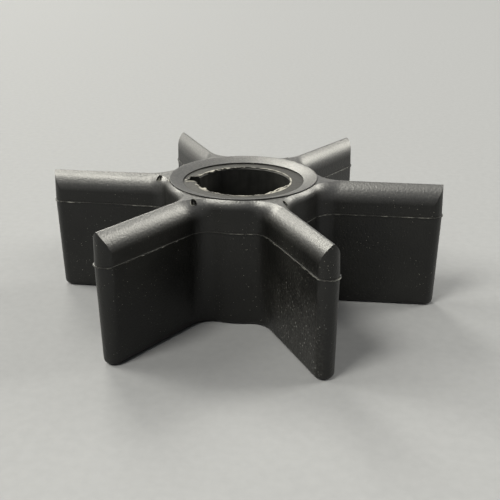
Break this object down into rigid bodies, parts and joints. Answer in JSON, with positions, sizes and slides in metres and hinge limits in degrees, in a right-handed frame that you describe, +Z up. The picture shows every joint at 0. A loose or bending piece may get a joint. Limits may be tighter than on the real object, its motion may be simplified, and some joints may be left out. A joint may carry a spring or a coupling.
{
  "type": "rubber pump impeller",
  "caption": "Flexible-vane water-pump impeller: a rubber hub with straight radial vanes, arched on top, moulded round a rigid sleeve with a plain bore and a keyway.",
  "frame": {"origin": "on the bore axis, in the plane of the flat underside that the impeller stands on", "axes": "+Z up along the bore axis, towards the dished ring; +X along the middle of one vane; the keyway faces -X"},
  "size_m": [0.0678, 0.0592, 0.0218],
  "materials": {
    "black_rubber": "satin black moulded rubber with a fine grain",
    "insert_plastic": "smooth black rigid plastic, a little glossy inside the bore"
  },
  "bodies": {
    "root": {"rubber_body": "black_rubber", "hub_insert": "insert_plastic"}
  },
  "joints": []
}
